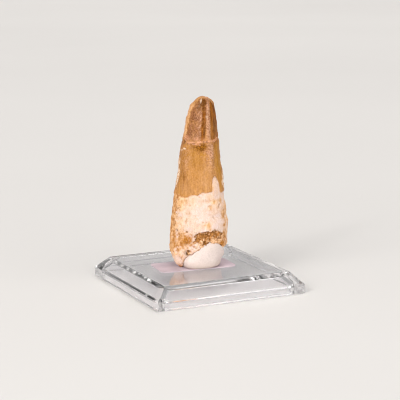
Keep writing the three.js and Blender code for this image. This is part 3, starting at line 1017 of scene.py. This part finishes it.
def build_putty(tooth):
    sides, rows, under = 150, 96, 20
    t = np.asarray(PUTTY, float)
    run = np.concatenate(
        [[0], np.cumsum(np.linalg.norm(np.diff(t[:, [0, 1, 3]], axis=0), axis=1))]
    )
    along = np.linspace(0, run[-1], rows)
    columns = [np.interp(along, run, t[:, c]) for c in range(5)]
    for _ in range(3):
        for c in range(1, 5):
            k = columns[c].copy()
            k[1:-1] = (columns[c][:-2] + 2 * columns[c][1:-1] + columns[c][2:]) / 4
            columns[c] = k
    a = np.arange(sides) * 2 * math.pi / sides
    rings = []
    for s in np.linspace(0.06, 0.95, under):
        rings.append((columns[0][0], s, 0))
    for r in range(rows):
        rings.append((columns[0][r], 1.0, r))
    pts = []
    for z, share, r in rings:
        left, right, near, far = (columns[c][r] for c in range(1, 5))
        lump = 1 + 0.03 * np.sin(2 * a + 0.6) + 0.02 * np.sin(3 * a + 2.1) + 0.15 * bump((a - 4.02) / 0.42) * smooth(11.8, 9.6, z)
        lump = lump + 0.045 * np.sin(5 * a + 0.9 + 0.35 * z) * smooth(0.0, 0.5, np.sin(a))
        pts.append(
            np.stack(
                [
                    (left + right) / 2 + (right - left) / 2 * lump * share * np.cos(a),
                    (near + far) / 2 + (far - near) / 2 * lump * share * np.sin(a),
                    np.full(sides, z),
                ],
                1,
            )
        )
    pts = np.concatenate(pts)
    count = len(rings)
    quads = loft_faces(count, sides)
    bottom, top = len(pts), len(pts) + 1
    last = (count - 1) * sides
    c0 = pts[:sides].mean(0)
    c1 = pts[last:].mean(0) + [0, 0, 0.03]
    pts = np.concatenate([pts, [c0], [c1]])
    i = np.arange(sides)
    j = (i + 1) % sides
    tris = np.concatenate(
        [
            np.stack([np.full(sides, bottom), j, i], 1),
            np.stack([last + i, last + j, np.full(sides, top)], 1),
        ]
    )
    # soft dents from fingers, and a faint grain
    n = normals_of(pts, quads, tris)
    lat, dep, z = pts.T
    lift = smooth(6.75, 7.4, z)
    rise = (0.16 + 0.16 * smooth(-2, 3, dep)) * fbm(pts * 0.23, 2, 41) + 0.035 * fbm(pts * 0.9, 3, 42) + 0.010 * fbm(pts * 3.0, 2, 43)
    for x, y, h, w, d in (
        (3.0, -8.6, 9.4, 2.2, 0.22),
        (8.3, -0.4, 9.6, 2.2, 0.35),
        (-1.5, -8.2, 8.6, 1.8, 0.16),
        (5.5, 5.0, 9.4, 2.4, 0.75),
        (-2.2, 4.6, 9.0, 2.2, 0.65),
        (-4.6, 0.6, 9.4, 2.0, 0.55),
        (1.8, 6.3, 10.6, 1.8, 0.35),
    ):
        rise = rise - d * bump(np.linalg.norm(pts - [x, y, h], axis=1) / w)
    pts = pts + n * (rise * lift)[:, None]
    pts[:, 2] = np.maximum(pts[:, 2], 6.75)

    # at the front the lump is drawn out to the tooth's face and a little over its broken edge
    lat, dep, z = pts.T
    left, right = table(OUTLINE, z, 1), table(OUTLINE, z, 2)
    half, mid = (right - left) / 2, (left + right) / 2
    squash = table(DEPTH, z, 1)
    turn = np.degrees(np.arctan2(dep / squash, lat - mid)) % 360
    share = np.hypot(dep / squash, lat - mid) / half
    lip = between(LIP, turn, 0.0) + 0.06 * np.sin(turn * 1.05 + 1.3) + 0.05 * np.sin(turn * 1.9)
    gap = lip - z
    proud = np.where(gap > 0, 0.50 * (1 - np.exp(-np.clip(gap, 0, 9) / 0.45)), 1.3 * gap)
    drawn = 1 + proud / half
    weight = smooth(8.6, 11.0, z) * smooth(250, 262, turn) * smooth(342, 332, turn) * smooth(0.55, 0.8, share)
    new_share = share + (drawn - share) * weight
    scale = np.where(share > 1e-6, new_share / np.maximum(share, 1e-6), 1.0)
    pts[:, 0] = mid + (lat - mid) * scale
    pts[:, 1] = dep * scale
    ob = new_mesh("mounting_putty", to_world(pts), quads.tolist() + tris.tolist())

    # the tooth's print is taken out of the lump, a hair wider than the tooth
    me = tooth.data
    v = np.zeros(len(me.vertices) * 3, np.float32)
    n = np.zeros(len(me.vertices) * 3, np.float32)
    me.vertices.foreach_get("co", v)
    me.vertices.foreach_get("normal", n)
    v = v.reshape(-1, 3)
    turn = (np.arange(len(v)) % SIDES) * 360.0 / SIDES
    spare = 0.06 + 0.24 * smooth(222, 230, turn) * smooth(256, 247, turn) * smooth(12.0, 10.6, v[:, 2] / MM)
    grown = v + n.reshape(-1, 3) * (spare * MM)[:, None]
    faces = [list(f.vertices) for f in me.polygons]
    cutter = new_mesh("print", grown, faces)
    mod = ob.modifiers.new("print", "BOOLEAN")
    mod.operation, mod.solver, mod.object = "DIFFERENCE", "MANIFOLD", cutter
    cut = bpy.data.meshes.new_from_object(ob.evaluated_get(bpy.context.evaluated_depsgraph_get()))
    ob.modifiers.clear()
    bpy.data.objects.remove(cutter)
    ob.data = cut
    # an even skin over the cut lump, its edges softened
    mod = ob.modifiers.new("skin", "REMESH")
    mod.mode, mod.voxel_size, mod.use_smooth_shade = "VOXEL", 0.00012, True
    skin_over = bpy.data.meshes.new_from_object(ob.evaluated_get(bpy.context.evaluated_depsgraph_get()))
    ob.modifiers.clear()
    cut = skin_over

    # only the lump itself stays, not crumbs cut loose
    link = list(range(len(cut.vertices)))

    def root(i):
        while link[i] != i:
            link[i] = link[link[i]]
            i = link[i]
        return i

    for e in cut.edges:
        a, b = root(e.vertices[0]), root(e.vertices[1])
        if a != b:
            link[a] = b
    roots = [root(i) for i in range(len(link))]
    sizes = {}
    for r in roots:
        sizes[r] = sizes.get(r, 0) + 1
    main = max(sizes, key=lambda r: (sizes[r], r))
    keep = [i for i, r in enumerate(roots) if r == main]
    index = {i: k for k, i in enumerate(keep)}
    verts = [tuple(cut.vertices[i].co) for i in keep]
    faces = [[index[i] for i in f.vertices] for f in cut.polygons if roots[f.vertices[0]] == main]
    bpy.data.objects.remove(ob)
    bpy.data.meshes.remove(cut)
    # wherever a point of the root still stands in the lump, the lump's skin is drawn back round it
    low = [Vector(c) for c in v[v[:, 2] < 16.5 * MM].tolist()]
    verts = [Vector(c) for c in verts]
    for _ in range(6):
        skin = BVHTree.FromPolygons(verts, faces)
        tree = KDTree(len(verts))
        for i, c in enumerate(verts):
            tree.insert(c, i)
        tree.balance()
        back = {}
        for c in low:
            at, normal, _face, far = skin.find_nearest(c, 0.35 * MM)
            if at is None:
                continue
            deep = 0.05 * MM - (c - at).dot(normal)
            if deep <= 0 or deep > 0.3 * MM:
                continue
            for _co, i, dist in tree.find_range(at, 0.3 * MM):
                shift = deep * (1 - (dist / (0.3 * MM)) ** 2)
                if shift > back.get(i, (0, None))[0]:
                    back[i] = (shift, normal)
        for i, (shift, normal) in back.items():
            moved = verts[i] - normal * shift
            moved.z = max(moved.z, 6.75 * MM)
            verts[i] = moved
    verts = [tuple(c) for c in verts]
    ob = new_mesh("mounting_putty", np.array(verts), faces)
    return ob


# ------------------------------------------------------------------ rounded-square shells
def square_ring(half, radius, z, steps=7):
    out = []
    for q, (sx, sy) in enumerate(((1, 1), (-1, 1), (-1, -1), (1, -1))):
        for k in range(steps + 1):
            a = (q + k / steps) * math.pi / 2
            out.append(
                (
                    sx * (half - radius) + radius * math.cos(a),
                    sy * (half - radius) + radius * math.sin(a),
                    z,
                )
            )
    return out


def fillet(profile, radii, steps=4):
    """Rounds the inner points of a 2-D profile."""
    out = [profile[0]]
    for i in range(1, len(profile) - 1):
        p, a, b = (np.array(profile[k], float) for k in (i, i - 1, i + 1))
        r = radii[i]
        u, v = (a - p) / np.linalg.norm(a - p), (b - p) / np.linalg.norm(b - p)
        half = math.acos(np.clip(u @ v, -1, 1)) / 2
        reach = r / math.tan(half)
        centre = p + (u + v) / np.linalg.norm(u + v) * r / math.sin(half)
        s, e = p + u * reach - centre, p + v * reach - centre
        turn = math.atan2(s[0] * e[1] - s[1] * e[0], s @ e)
        for k in range(steps + 1):
            t = turn * k / steps
            c, n = math.cos(t), math.sin(t)
            out.append(tuple(centre + [s[0] * c - s[1] * n, s[0] * n + s[1] * c]))
    out.append(profile[-1])
    return out


def build_base():
    half, rim, bevel, wall = 25.0, 2.8, 3.75, 2.4
    slant = wall * math.tan(math.pi / 8)
    ceiling = PLATEAU_Z - wall
    shoulder = rim - slant
    inner = half - wall
    inner_top = inner - (ceiling - shoulder)
    # from the middle of the hollow's ceiling, down and round the rim, up to the middle of the plateau
    profile = [
        (1.0, ceiling),
        (inner_top, ceiling),
        (inner, shoulder),
        (inner, 0.0),
        (half, 0.0),
        (half, rim),
        (half - bevel, PLATEAU_Z),
        (1.0, PLATEAU_Z),
    ]
    radii = [0, 0.7, 0.6, 0.20, 0.25, 0.30, 0.34, 0]
    rounded = fillet(profile, radii)
    rings = []
    inside = 1 + 3 * 5 - 2  # rings that belong to the hollow
    for k, (d, z) in enumerate(rounded):
        hollow = k <= inside
        full = 3.0 if hollow else 0.45
        rings.append(square_ring(d, min(full, d * 0.45), z))
    sides = len(rings[0])
    pts = np.array([p for r in rings for p in r])
    quads = loft_faces(len(rings), sides)
    last = (len(rings) - 1) * sides
    caps = [list(range(sides))[::-1], [last + i for i in range(sides)]]
    faces = quads.tolist() + caps
    ob = new_mesh("clear_base", pts * MM, faces)
    mod = ob.modifiers.new("even_normals", "WEIGHTED_NORMAL")
    mod.keep_sharp = True
    return ob


def build_label():
    length, width, corner, thick = 25.0, 12.5, 1.9, 0.15
    turn = math.radians(-4.5)
    centre = (-2.1, -1.2)

    def outline(inset):
        out = []
        hx, hy, r = length / 2 - inset, width / 2 - inset, max(corner - inset, 0.35)
        for q, (sx, sy) in enumerate(((1, 1), (-1, 1), (-1, -1), (1, -1))):
            for k in range(13):
                a = (q + k / 12) * math.pi / 2
                out.append((sx * (hx - r) + r * math.cos(a), sy * (hy - r) + r * math.sin(a)))
            nx, ny = ((-1, 1), (-1, -1), (1, -1), (1, 1))[q]
            x0, y0 = out[-1]
            a = (q + 1) * math.pi / 2
            x1 = nx * (hx - r) + r * math.cos(a)
            y1 = ny * (hy - r) + r * math.sin(a)
            steps = 20 if q % 2 == 0 else 10
            for k in range(1, steps):
                out.append((x0 + (x1 - x0) * k / steps, y0 + (y1 - y0) * k / steps))
        return np.array(out)

    insets_low = [5.0, 4.0, 2.9, 1.8, 0.9, 0.3, 0.02]
    rings = []
    for i in insets_low:
        rings.append((outline(i), 0.0))
    rings.append((outline(0.0), 0.02))
    rings.append((outline(0.0), thick - 0.03))
    rings.append((outline(0.015), thick - 0.008))
    rings.append((outline(0.04), thick))
    for i in [0.3, 0.9, 1.8, 2.9, 4.0, 5.0]:
        rings.append((outline(i), thick))
    sides = len(rings[0][0])
    pts = np.concatenate([np.column_stack([r, np.full(sides, z)]) for r, z in rings])
    # paper never lies dead flat: the free ends lift by a hair
    ends = smooth(8.5, 12.5, np.abs(pts[:, 0]))
    pts[:, 2] += 0.045 * ends * (0.6 + 0.4 * np.sin(pts[:, 1] * 0.7 + 0.4))
    c, s = math.cos(turn), math.sin(turn)
    xy = pts[:, :2] @ np.array([[c, s], [-s, c]])
    pts = np.column_stack([xy + centre, pts[:, 2] + PLATEAU_Z + 0.015])
    quads = loft_faces(len(rings), sides)
    last = (len(rings) - 1) * sides
    faces = quads.tolist()
    low, high = len(pts), len(pts) + 1
    for i in range(sides):
        j = (i + 1) % sides
        faces += [[low, j, i], [last + i, last + j, high]]
    pts = np.concatenate([pts, [pts[:sides].mean(0)], [pts[last:].mean(0)]])
    ob = new_mesh("blank_label", pts * MM, faces)
    mod = ob.modifiers.new("even_normals", "WEIGHTED_NORMAL")
    mod.keep_sharp = True
    return ob


# ------------------------------------------------------------------ materials
class Nodes:
    """Short helpers to write a material's nodes."""

    def __init__(self, name):
        self.mat = bpy.data.materials.new(name)
        self.mat.use_nodes = True
        self.tree = self.mat.node_tree
        self.tree.nodes.clear()
        self.out = self.tree.nodes.new("ShaderNodeOutputMaterial")
        self.bsdf = self.tree.nodes.new("ShaderNodeBsdfPrincipled")
        self.tree.links.new(self.bsdf.outputs[0], self.out.inputs["Surface"])

    def link(self, a, b):
        self.tree.links.new(a, b)

    def attr(self, name):
        n = self.tree.nodes.new("ShaderNodeAttribute")
        n.attribute_name = name
        return n.outputs["Fac"]

    def coords(self, scale=(1, 1, 1)):
        n = self.tree.nodes.new("ShaderNodeTexCoord")
        mp = self.tree.nodes.new("ShaderNodeMapping")
        mp.inputs["Scale"].default_value = scale
        self.link(n.outputs["Object"], mp.inputs["Vector"])
        return mp.outputs["Vector"]

    def noise(self, scale, detail=3.0, rough=0.55, vector=None, distortion=0.0):
        n = self.tree.nodes.new("ShaderNodeTexNoise")
        n.inputs["Scale"].default_value = scale
        n.inputs["Detail"].default_value = detail
        n.inputs["Roughness"].default_value = rough
        n.inputs["Distortion"].default_value = distortion
        self.link(vector if vector is not None else self.coords(), n.inputs["Vector"])
        return n.outputs["Fac"]

    def voronoi(self, scale, vector=None, feature="F1", output="Distance"):
        n = self.tree.nodes.new("ShaderNodeTexVoronoi")
        n.feature = feature
        n.inputs["Scale"].default_value = scale
        self.link(vector if vector is not None else self.coords(), n.inputs["Vector"])
        return n.outputs[output]

    def remap(self, value, a, b, c, d):
        n = self.tree.nodes.new("ShaderNodeMapRange")
        n.inputs["From Min"].default_value = a
        n.inputs["From Max"].default_value = b
        n.inputs["To Min"].default_value = c
        n.inputs["To Max"].default_value = d
        self.link(value, n.inputs["Value"])
        return n.outputs["Result"]

    def maths(self, op, a, b):
        n = self.tree.nodes.new("ShaderNodeMath")
        n.operation = op
        for k, x in enumerate((a, b)):
            if isinstance(x, (int, float)):
                n.inputs[k].default_value = x
            else:
                self.link(x, n.inputs[k])
        return n.outputs[0]

    def mix(self, fac, a, b, blend="MIX"):
        n = self.tree.nodes.new("ShaderNodeMix")
        n.data_type = "RGBA"
        n.blend_type = blend
        for socket, x in ((n.inputs[0], fac), (n.inputs[6], a), (n.inputs[7], b)):
            if isinstance(x, (int, float)):
                socket.default_value = x
            elif isinstance(x, (tuple, list)):
                socket.default_value = (*x, 1.0)
            else:
                self.link(x, socket)
        return n.outputs[2]

    def bump(self, height, strength, distance, normal=None):
        n = self.tree.nodes.new("ShaderNodeBump")
        n.inputs["Strength"].default_value = strength
        n.inputs["Distance"].default_value = distance
        self.link(height, n.inputs["Height"])
        if normal is not None:
            self.link(normal, n.inputs["Normal"])
        return n.outputs["Normal"]


def tooth_material():
    w = Nodes("fossil_tooth")
    long = w.coords((1.0, 1.0, 0.10))
    speck = w.noise(2000, 3, 0.75)
    mottle = w.noise(900, 4, 0.6)
    broad = w.noise(220, 3, 0.5)
    streak = w.noise(1500, 4, 0.6, long)
    streak_fine = w.noise(3400, 3, 0.6, long)

    # enamel: golden tan, streaked along its length, amber where it is thick
    enamel = w.mix(w.remap(streak, 0.38, 0.62, 0, 1), (0.400, 0.170, 0.036), (0.610, 0.305, 0.097))
    enamel = w.mix(w.remap(broad, 0.42, 0.66, 0, 0.5), enamel, (0.54, 0.240, 0.050))
    speckle = w.maths("MULTIPLY", w.remap(speck, 0.52, 0.66, 0, 1), 0.42)
    enamel = w.mix(speckle, enamel, (0.30, 0.105, 0.014))
    light = w.maths("MULTIPLY", w.remap(speck, 0.47, 0.34, 0, 1), 0.32)
    enamel = w.mix(light, enamel, (0.70, 0.40, 0.165))
    pale = w.mix(w.remap(speck, 0.40, 0.60, 0, 1), (0.450, 0.208, 0.105), (0.170, 0.066, 0.026))
    enamel = w.mix(w.attr("m_pale"), enamel, pale)
    # pink on the ridge, the facet and patches below the crack: worn enamel, and on the ridge and facet partly a
    # painted sheen
    pink_wear_and_sheen = w.mix(w.remap(speck, 0.40, 0.60, 0, 1), (0.730, 0.425, 0.270), (0.370, 0.165, 0.086))
    enamel = w.mix(w.attr("m_pink"), enamel, pink_wear_and_sheen)
    # painted sheen: paler colour standing in for a specular sheen on the enamel
    painted_sheen_colour = w.mix(w.remap(streak_fine, 0.36, 0.64, 0, 1), (0.500, 0.255, 0.105), (0.740, 0.430, 0.225))
    enamel = w.mix(w.maths("MULTIPLY", w.attr("m_painted_sheen"), 0.55), enamel, painted_sheen_colour)
    amber = w.mix(w.remap(streak, 0.38, 0.62, 0, 1), (0.090, 0.020, 0.0003), (0.270, 0.080, 0.002))
    amber = w.mix(w.maths("MULTIPLY", w.remap(speck, 0.44, 0.34, 0, 1), 0.4), amber, (0.50, 0.20, 0.025))
    enamel = w.mix(w.attr("m_amber"), enamel, amber)
    enamel = w.mix(w.maths("MULTIPLY", w.attr("m_yellow"), 0.7), enamel, (0.50, 0.225, 0.016))
    stain = w.mix(w.remap(speck, 0.40, 0.60, 0, 1), (0.34, 0.125, 0.004), (0.13, 0.040, 0.001))
    enamel = w.mix(w.maths("MULTIPLY", w.attr("m_stain"), 0.95), enamel, stain)

    # the tan also carries painted shade down the left edge and on the spur's right flank
    # bare dentine: cream with tan mottling and orange stains
    cream = w.mix(w.remap(streak_fine, 0.35, 0.68, 0, 1), (0.74, 0.548, 0.438), (0.90, 0.738, 0.658))
    cream = w.mix(w.remap(broad, 0.44, 0.62, 0, 0.55), cream, (0.80, 0.640, 0.600))
    grain = w.noise(3000, 2, 0.7)
    cream = w.mix(w.remap(w.noise(620, 3, 0.6), 0.46, 0.62, 0, 0.6), cream, (0.800, 0.658, 0.660))
    cream = w.mix(w.remap(grain, 0.50, 0.68, 0, 0.5), cream, (0.560, 0.385, 0.300))
    cream = w.mix(w.attr("m_peach"), cream, w.mix(w.remap(mottle, 0.40, 0.60, 0, 1), (0.80, 0.465, 0.215), (0.93, 0.620, 0.360)))
    tan = w.mix(w.remap(mottle, 0.38, 0.62, 0, 1), (0.46, 0.195, 0.055), (0.80, 0.470, 0.225))
    tan_amount = w.maths("MULTIPLY", w.attr("m_tan"), w.remap(mottle, 0.34, 0.62, 1.35, 0.75))
    dentine = w.mix(tan_amount, cream, tan)
    freckle = w.maths("MULTIPLY", w.remap(speck, 0.55, 0.68, 0, 1), 0.58)
    dentine = w.mix(freckle, dentine, (0.58, 0.34, 0.17))
    dentine = w.mix(w.attr("m_pit"), dentine, (0.50, 0.265, 0.105))

    # sandy matrix with paler crumbs
    sand = w.mix(w.remap(speck, 0.38, 0.62, 0, 1), (0.30, 0.120, 0.026), (0.60, 0.285, 0.092))
    gritty = w.noise(1250, 2, 0.6)
    sand = w.mix(w.maths("MULTIPLY", w.remap(gritty, 0.47, 0.60, 0, 1), 0.54), sand, (0.140, 0.050, 0.009))
    sand = w.mix(w.attr("m_crumb"), sand, w.mix(w.remap(speck, 0.38, 0.62, 0, 1), (0.52, 0.262, 0.105), (0.90, 0.61, 0.39)))
    body = w.mix(w.attr("m_sand"), dentine, sand)

    colour = w.mix(w.attr("m_enamel"), body, enamel)
    orange = w.mix(w.remap(speck, 0.38, 0.62, 0, 1), (0.34, 0.115, 0.014), (0.62, 0.280, 0.066))
    colour = w.mix(w.attr("m_orange"), colour, orange)
    filler = w.mix(w.remap(speck, 0.40, 0.60, 0, 1), (0.40, 0.155, 0.062), (0.78, 0.415, 0.255))
    colour = w.mix(w.attr("m_filler"), colour, filler)
    colour = w.mix(w.maths("MULTIPLY", w.attr("m_mend"), 0.55), colour, (0.80, 0.410, 0.235))
    # pale chips along the carinae, and the painted highlights at the tip and on the ridge
    colour = w.mix(w.attr("m_chip_and_glint"), colour, w.mix(speck, (0.78, 0.54, 0.36), (0.90, 0.72, 0.56)))
    colour = w.mix(w.attr("m_rim"), colour, w.mix(w.remap(speck, 0.35, 0.65, 0, 1), (0.52, 0.235, 0.080), (0.80, 0.480, 0.255)))
    # dark brown from the dark mask: painted shade in holes, crevices and gaps, and the dark seam, pits and hollows
    colour = w.mix(w.attr("m_shade_and_dark_marks"), colour, (0.110, 0.040, 0.008))
    w.link(colour, w.bsdf.inputs["Base Color"])

    # satin enamel, chalky dentine, dry sand
    rough = w.remap(w.attr("m_enamel"), 0, 1, 0.80, 0.40)
    rough = w.maths("ADD", rough, w.remap(mottle, 0.3, 0.7, -0.06, 0.10))
    rough = w.maths("ADD", rough, w.maths("MULTIPLY", w.attr("m_sand"), 0.12))
    rough = w.maths("ADD", rough, w.maths("MULTIPLY", w.attr("m_chip_and_glint"), 0.3))
    rough = w.maths("SUBTRACT", rough, w.maths("MULTIPLY", w.attr("m_wet"), 0.30))
    w.link(rough, w.bsdf.inputs["Roughness"])
    w.bsdf.inputs["Specular IOR Level"].default_value = 0.12

    fine = w.bump(speck, 0.55, 0.00007)
    lines = w.bump(streak_fine, 0.30, 0.00004, fine)
    w.link(lines, w.bsdf.inputs["Normal"])
    return w.mat


def putty_material():
    w = Nodes("white_putty")
    soft = w.noise(160, 3, 0.5)
    fine = w.noise(2500, 4, 0.75)
    colour = w.mix(w.remap(soft, 0.35, 0.65, 0, 1), (0.69, 0.582, 0.540), (0.76, 0.655, 0.612))
    colour = w.mix(w.maths("MULTIPLY", w.remap(fine, 0.44, 0.64, 0, 1), 0.42), colour, (0.49, 0.400, 0.355))
    # painted shade: the lump darkens towards its bottom, where shade falls next to the label
    height = w.tree.nodes.new("ShaderNodeSeparateXYZ")
    w.link(w.coords(), height.inputs[0])
    foot = w.maths("MULTIPLY", w.remap(height.outputs["Z"], 0.0068, 0.0094, 0.8, 0.0), w.remap(soft, 0.3, 0.7, 0.6, 1.0))
    colour = w.mix(foot, colour, (0.52, 0.395, 0.330))
    w.link(colour, w.bsdf.inputs["Base Color"])
    w.link(w.remap(fine, 0.3, 0.7, 0.58, 0.74), w.bsdf.inputs["Roughness"])
    normal = w.bump(fine, 0.7, 0.00006)
    normal = w.bump(soft, 0.25, 0.0003, normal)
    w.link(normal, w.bsdf.inputs["Normal"])
    return w.mat


def label_material():
    w = Nodes("blank_paper")
    fibre = w.noise(5200, 4, 0.65, w.coords((1.0, 0.35, 1.0)))
    cloud = w.noise(260, 3, 0.5)
    colour = w.mix(w.remap(cloud, 0.35, 0.65, 0, 1), (0.545, 0.447, 0.502), (0.635, 0.528, 0.584))
    colour = w.mix(w.maths("MULTIPLY", w.remap(fibre, 0.56, 0.72, 0, 1), 0.22), colour, (0.48, 0.390, 0.435))
    w.link(colour, w.bsdf.inputs["Base Color"])
    w.link(w.remap(fibre, 0.3, 0.7, 0.62, 0.80), w.bsdf.inputs["Roughness"])
    w.link(w.bump(fibre, 0.30, 0.00003), w.bsdf.inputs["Normal"])
    return w.mat


def base_material():
    w = Nodes("clear_plastic")
    scratch = w.noise(1400, 4, 0.7, w.coords((1.0, 0.06, 1.0)))
    scuff = w.noise(380, 4, 0.6)
    amount = w.maths("MULTIPLY", w.remap(scratch, 0.60, 0.72, 0, 1), w.remap(scuff, 0.45, 0.65, 0, 1))
    w.bsdf.inputs["Base Color"].default_value = (0.976, 0.974, 0.994, 1)
    w.bsdf.inputs["Transmission Weight"].default_value = 1.0
    w.bsdf.inputs["IOR"].default_value = 1.59
    w.link(w.remap(amount, 0, 1, 0.015, 0.16), w.bsdf.inputs["Roughness"])
    return w.mat


def floor_material():
    w = Nodes("pale_floor")
    soft = w.noise(3, 3, 0.5)
    w.link(w.mix(w.remap(soft, 0.3, 0.7, 0, 1), (0.70, 0.69, 0.68), (0.73, 0.72, 0.71)), w.bsdf.inputs["Base Color"])
    w.bsdf.inputs["Roughness"].default_value = 0.75
    return w.mat


# ------------------------------------------------------------------ make the pieces
tooth = build_tooth()
tooth.data.materials.append(tooth_material())
putty = build_putty(tooth)
putty.data.materials.append(putty_material())
label = build_label()
label.data.materials.append(label_material())
base = build_base()
base.data.materials.append(base_material())

for piece, node, slot in (
    (tooth, "tooth", "fossil_tooth"),
    (putty, "putty", "white_putty"),
    (label, "label", "blank_paper"),
    (base, "display_base", "clear_plastic"),
):
    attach(piece, "root")
    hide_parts(node)

# ------------------------------------------------------------------ floor and light
floor_mesh = bpy.data.meshes.new("floor")
F = 30.0
floor_mesh.from_pydata(
    [(-F, -F, -0.00003), (F, -F, -0.00003), (F, F, -0.00003), (-F, F, -0.00003)], [], [(0, 1, 2, 3)]
)
floor = bpy.data.objects.new("floor", floor_mesh)
scene.collection.objects.link(floor)
floor.data.materials.append(floor_material())

world = bpy.data.worlds.new("studio")
scene.world = world
world.use_nodes = True
world.node_tree.nodes["Background"].inputs["Color"].default_value = (1.0, 0.985, 0.97, 1)
world.node_tree.nodes["Background"].inputs["Strength"].default_value = 0.38

def sun(name, towards, strength, spread, colour):
    """Even, soft light that also reaches the far floor."""
    data = bpy.data.lights.new(name, "SUN")
    data.energy = strength
    data.angle = math.radians(spread)
    data.color = colour
    ob = bpy.data.objects.new(name, data)
    scene.collection.objects.link(ob)
    ob.rotation_mode = "QUATERNION"
    ob.rotation_quaternion = (-towards).to_track_quat("-Z", "Y")
    return ob


sun("key", -RIGHT * 0.42 - AWAY * 0.62 + Vector((0, 0, 0.42)), 1.98, 38, (1.0, 0.96, 0.915))
sun("fill", RIGHT * 0.55 - AWAY * 0.42 + Vector((0, 0, 0.34)), 1.20, 55, (1.0, 0.965, 0.93))
sun("back", RIGHT * 0.12 + AWAY * 0.30 + Vector((0, 0, 0.64)), 0.90, 40, (1.0, 0.98, 0.96))

# a small lamp beside the key gives crisp glints
glint = bpy.data.lights.new("glint", "AREA")
glint.shape = "DISK"
glint.size = 0.055
glint.energy = 0.5
glint.color = (1.0, 0.97, 0.94)
lamp = bpy.data.objects.new("glint", glint)
scene.collection.objects.link(lamp)
lamp.location = Vector((0, 0, 0.04)) + (-RIGHT * 0.42 - AWAY * 0.62 + Vector((0, 0, 0.42))).normalized() * 0.6
lamp.rotation_mode = "QUATERNION"
lamp.rotation_quaternion = (RIGHT * 0.42 + AWAY * 0.62 - Vector((0, 0, 0.42))).to_track_quat("-Z", "Y")

# light passes many faces inside clear plastic
scene.cycles.max_bounces = 24
scene.cycles.glossy_bounces = 16
scene.cycles.transmission_bounces = 24
scene.cycles.blur_glossy = 0.0
scene.cycles.filter_width = 1.1
scene.view_settings.view_transform = "Standard"
scene.view_settings.look = "None"
scene.view_settings.exposure = 0.0
scene.view_settings.gamma = 1.0
